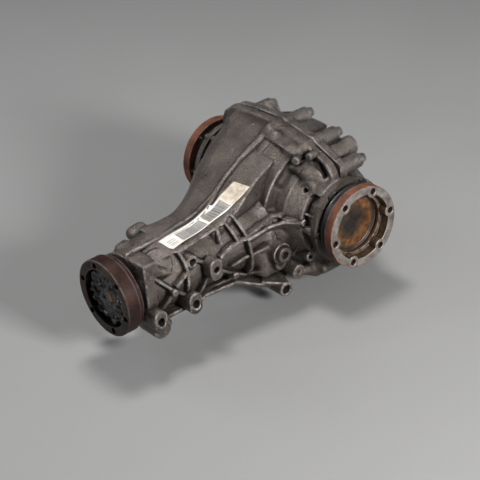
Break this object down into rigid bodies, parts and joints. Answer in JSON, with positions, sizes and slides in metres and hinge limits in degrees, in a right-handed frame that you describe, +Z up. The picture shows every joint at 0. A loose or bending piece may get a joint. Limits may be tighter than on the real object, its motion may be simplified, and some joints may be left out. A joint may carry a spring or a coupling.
{
  "type": "differential gear assembly",
  "caption": "Rear axle final drive and differential in a split cast housing, with one input flange and two bolted output flanges.",
  "frame": {"origin": "centre of the input flange's bolt face, on the pinion axis", "axes": "+Y along the pinion axis into the housing, +X towards the right output flange along the output axis, +Z up"},
  "size_m": [0.296, 0.419, 0.203],
  "materials": {
    "cast_aluminium": "rough cast, oily and dirty",
    "rusted_steel": "rusted, machined faces grey",
    "machined_steel": "ground steel",
    "ductile_iron": "machined iron",
    "plated_steel": "zinc plated",
    "copper": "soft copper",
    "black_rubber": "matt"
  },
  "bodies": {
    "housing": {"main_housing": "cast_aluminium", "rear_cover": "cast_aluminium", "cover_gasket": "black_rubber", "cover_bolts": "plated_steel", "cover_dowels": "machined_steel", "left_bearing_carrier": "cast_aluminium", "right_bearing_carrier": "cast_aluminium", "carrier_bolts": "plated_steel", "carrier_o_rings": "black_rubber", "fill_plug": "plated_steel", "drain_plug": "plated_steel", "plug_washers": "copper", "breather": "machined_steel", "pinion_oil_seal": "black_rubber", "left_output_seal": "black_rubber", "right_output_seal": "black_rubber", "pinion_head_cup": "machined_steel", "pinion_nose_cup": "machined_steel", "left_side_cup": "machined_steel", "right_side_cup": "machined_steel", "pinion_depth_shim": "machined_steel", "side_bearing_shims": "machined_steel"},
    "pinion": {"pinion_gear": "machined_steel", "pinion_head_cone": "machined_steel", "pinion_nose_cone": "machined_steel", "crush_sleeve": "machined_steel", "input_flange": "rusted_steel", "pinion_nut": "rusted_steel", "input_slinger": "machined_steel"},
    "head_cage_set": {"head_rollers": "machined_steel", "head_cage": "machined_steel"},
    "nose_cage_set": {"nose_rollers": "machined_steel", "nose_cage": "machined_steel"},
    "left_cage_set": {"left_side_rollers": "machined_steel", "left_side_cage": "machined_steel"},
    "right_cage_set": {"right_side_rollers": "machined_steel", "right_side_cage": "machined_steel"},
    "diff_case": {"diff_case": "ductile_iron", "ring_gear": "machined_steel", "ring_gear_bolts": "machined_steel", "cross_pin": "machined_steel", "cross_pin_lock": "machined_steel", "left_side_cone": "machined_steel", "right_side_cone": "machined_steel", "side_gear_washers": "machined_steel", "spider_washers": "machined_steel"},
    "left_output": {"left_side_gear": "machined_steel", "left_output_flange": "rusted_steel", "left_circlip": "machined_steel", "left_dust_ring": "black_rubber"},
    "right_output": {"right_side_gear": "machined_steel", "right_output_flange": "rusted_steel", "right_circlip": "machined_steel", "right_dust_ring": "black_rubber"},
    "upper_spider": {"upper_spider_gear": "machined_steel"},
    "lower_spider": {"lower_spider_gear": "machined_steel"}
  },
  "joints": [
    {"name": "case_spin", "type": "hinge", "parent": "housing", "child": "diff_case", "pos_m": [-0.02, 0.32, 0], "axis": [1, 0, 0], "continuous": true},
    {"name": "pinion_spin", "type": "hinge", "parent": "housing", "child": "pinion", "pos_m": [0, 0.32, 0], "axis": [0, 1, 0], "continuous": true},
    {"name": "head_cage_spin", "type": "hinge", "parent": "housing", "child": "head_cage_set", "pos_m": [0, 0.22, 0], "axis": [0, 1, 0], "continuous": true},
    {"name": "nose_cage_spin", "type": "hinge", "parent": "housing", "child": "nose_cage_set", "pos_m": [0, 0.093, 0], "axis": [0, 1, 0], "continuous": true},
    {"name": "left_cage_spin", "type": "hinge", "parent": "housing", "child": "left_cage_set", "pos_m": [-0.106, 0.32, 0], "axis": [1, 0, 0], "continuous": true},
    {"name": "right_cage_spin", "type": "hinge", "parent": "housing", "child": "right_cage_set", "pos_m": [0.034, 0.32, 0], "axis": [1, 0, 0], "continuous": true},
    {"name": "left_output_spin", "type": "hinge", "parent": "diff_case", "child": "left_output", "pos_m": [-0.15, 0.32, 0], "axis": [1, 0, 0], "continuous": true},
    {"name": "right_output_spin", "type": "hinge", "parent": "diff_case", "child": "right_output", "pos_m": [0.08, 0.32, 0], "axis": [1, 0, 0], "continuous": true},
    {"name": "upper_spider_spin", "type": "hinge", "parent": "diff_case", "child": "upper_spider", "pos_m": [-0.02, 0.32, 0.028], "axis": [0, 0, 1], "continuous": true},
    {"name": "lower_spider_spin", "type": "hinge", "parent": "diff_case", "child": "lower_spider", "pos_m": [-0.02, 0.32, -0.028], "axis": [0, 0, 1], "continuous": true}
  ],
  "couplings": [
    {"joint": "pinion_spin", "follows": "case_spin", "ratio": -3.7273},
    {"joint": "head_cage_spin", "follows": "case_spin", "ratio": -1.5852},
    {"joint": "nose_cage_spin", "follows": "case_spin", "ratio": -1.5625},
    {"joint": "left_cage_spin", "follows": "case_spin", "ratio": 0.43114},
    {"joint": "right_cage_spin", "follows": "case_spin", "ratio": 0.43114},
    {"joint": "right_output_spin", "follows": "left_output_spin", "ratio": -1},
    {"joint": "upper_spider_spin", "follows": "left_output_spin", "ratio": 1.6},
    {"joint": "lower_spider_spin", "follows": "left_output_spin", "ratio": -1.6}
  ]
}
